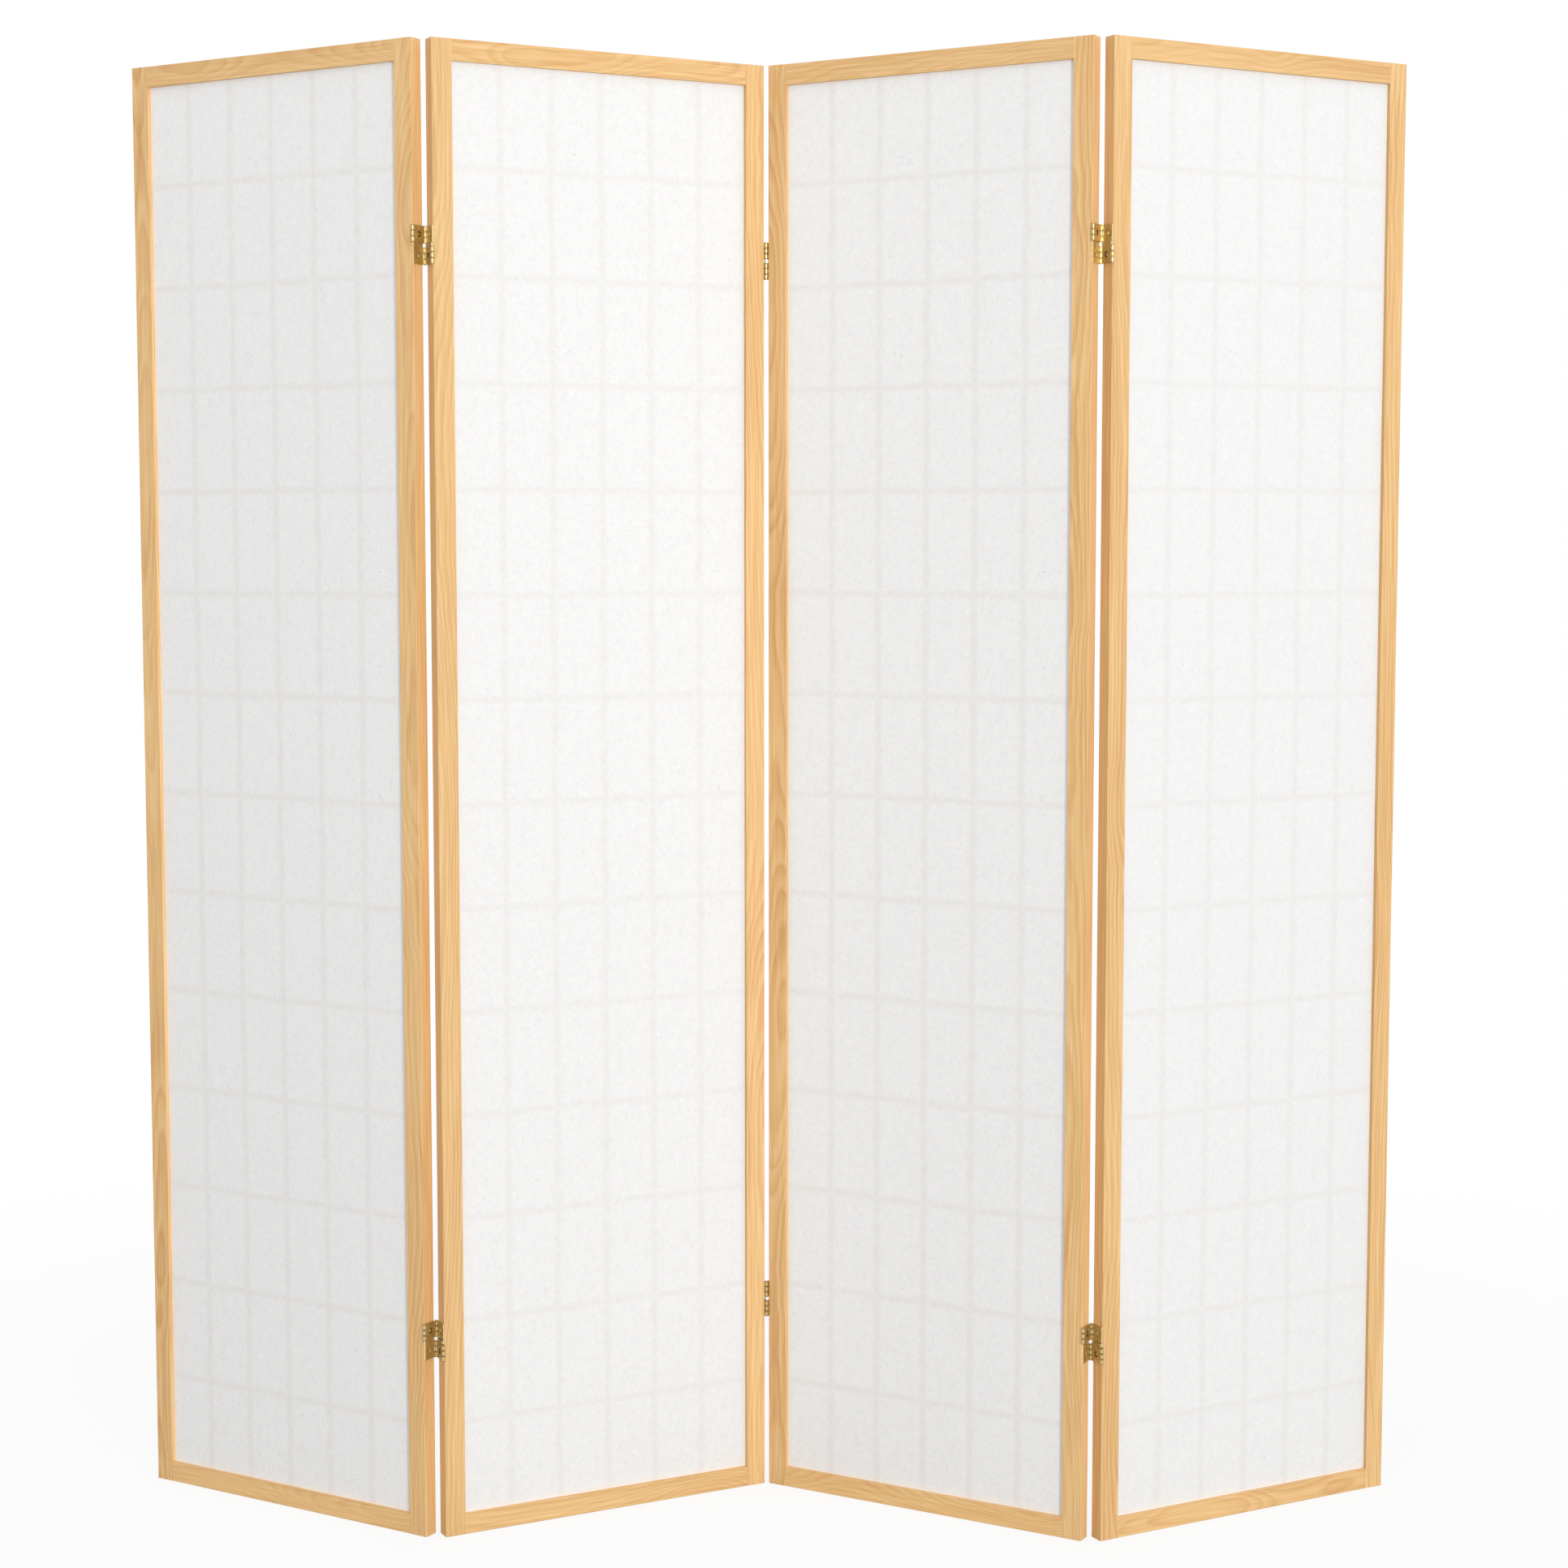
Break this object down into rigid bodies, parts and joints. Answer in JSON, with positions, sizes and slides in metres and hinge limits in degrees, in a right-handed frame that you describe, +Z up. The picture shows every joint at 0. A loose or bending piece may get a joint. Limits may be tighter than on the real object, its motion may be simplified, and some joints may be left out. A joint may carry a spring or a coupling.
{
  "type": "folding screen",
  "caption": "Free-standing shoji folding screen: framed paper panels with a rear lattice, joined by double-action hinges.",
  "frame": {"origin": "middle of the standing screen's plan outline, on the floor", "axes": "+X to the right along the screen seen from its paper side, +Y to its lattice side, +Z up"},
  "size_m": [1.5694, 0.2636, 1.785],
  "materials": {
    "stile_wood": "satin clear lacquer",
    "rail_wood": "satin clear lacquer",
    "lattice_wood": "plain sanded",
    "paper": "matt translucent fibre paper",
    "hinge_brass": "bright plated"
  },
  "bodies": {
    "panel_1": {"panel_1_stile_left": "stile_wood", "panel_1_stile_right": "stile_wood", "panel_1_rail_top": "rail_wood", "panel_1_rail_bottom": "rail_wood", "panel_1_paper": "paper", "panel_1_lattice_uprights": "lattice_wood", "panel_1_lattice_crossbars": "lattice_wood", "hinge_1_2_bottom_leaf_left": "hinge_brass", "hinge_1_2_bottom_link_upper": "hinge_brass", "hinge_1_2_top_leaf_left": "hinge_brass", "hinge_1_2_top_link_upper": "hinge_brass"},
    "panel_2": {"panel_2_stile_left": "stile_wood", "panel_2_stile_right": "stile_wood", "panel_2_rail_top": "rail_wood", "panel_2_rail_bottom": "rail_wood", "panel_2_paper": "paper", "panel_2_lattice_uprights": "lattice_wood", "panel_2_lattice_crossbars": "lattice_wood", "hinge_1_2_bottom_leaf_right": "hinge_brass", "hinge_1_2_bottom_link_lower": "hinge_brass", "hinge_1_2_top_leaf_right": "hinge_brass", "hinge_1_2_top_link_lower": "hinge_brass", "hinge_2_3_bottom_leaf_left": "hinge_brass", "hinge_2_3_bottom_link_lower": "hinge_brass", "hinge_2_3_top_leaf_left": "hinge_brass", "hinge_2_3_top_link_lower": "hinge_brass"},
    "panel_3": {"panel_3_stile_left": "stile_wood", "panel_3_stile_right": "stile_wood", "panel_3_rail_top": "rail_wood", "panel_3_rail_bottom": "rail_wood", "panel_3_paper": "paper", "panel_3_lattice_uprights": "lattice_wood", "panel_3_lattice_crossbars": "lattice_wood", "hinge_2_3_bottom_leaf_right": "hinge_brass", "hinge_2_3_bottom_link_upper": "hinge_brass", "hinge_2_3_top_leaf_right": "hinge_brass", "hinge_2_3_top_link_upper": "hinge_brass", "hinge_3_4_bottom_leaf_left": "hinge_brass", "hinge_3_4_bottom_link_upper": "hinge_brass", "hinge_3_4_top_leaf_left": "hinge_brass", "hinge_3_4_top_link_upper": "hinge_brass"},
    "panel_4": {"panel_4_stile_left": "stile_wood", "panel_4_stile_right": "stile_wood", "panel_4_rail_top": "rail_wood", "panel_4_rail_bottom": "rail_wood", "panel_4_paper": "paper", "panel_4_lattice_uprights": "lattice_wood", "panel_4_lattice_crossbars": "lattice_wood", "hinge_3_4_bottom_leaf_right": "hinge_brass", "hinge_3_4_bottom_link_lower": "hinge_brass", "hinge_3_4_top_leaf_right": "hinge_brass", "hinge_3_4_top_link_lower": "hinge_brass"}
  },
  "joints": [
    {"name": "fold_1_2", "type": "hinge", "parent": "panel_2", "child": "panel_1", "pos_m": [-0.40043, -0.09075, 0], "axis": [0, 0, -1], "range_deg": [-58.3, 121.7]},
    {"name": "fold_2_3", "type": "hinge", "parent": "panel_2", "child": "panel_3", "pos_m": [-0.00068, 0.08952, 0], "axis": [0, 0, -1], "range_deg": [-57.3, 121.7]},
    {"name": "fold_3_4", "type": "hinge", "parent": "panel_3", "child": "panel_4", "pos_m": [0.39013, -0.10938, 0], "axis": [0, 0, 1], "range_deg": [-58, 122]}
  ]
}
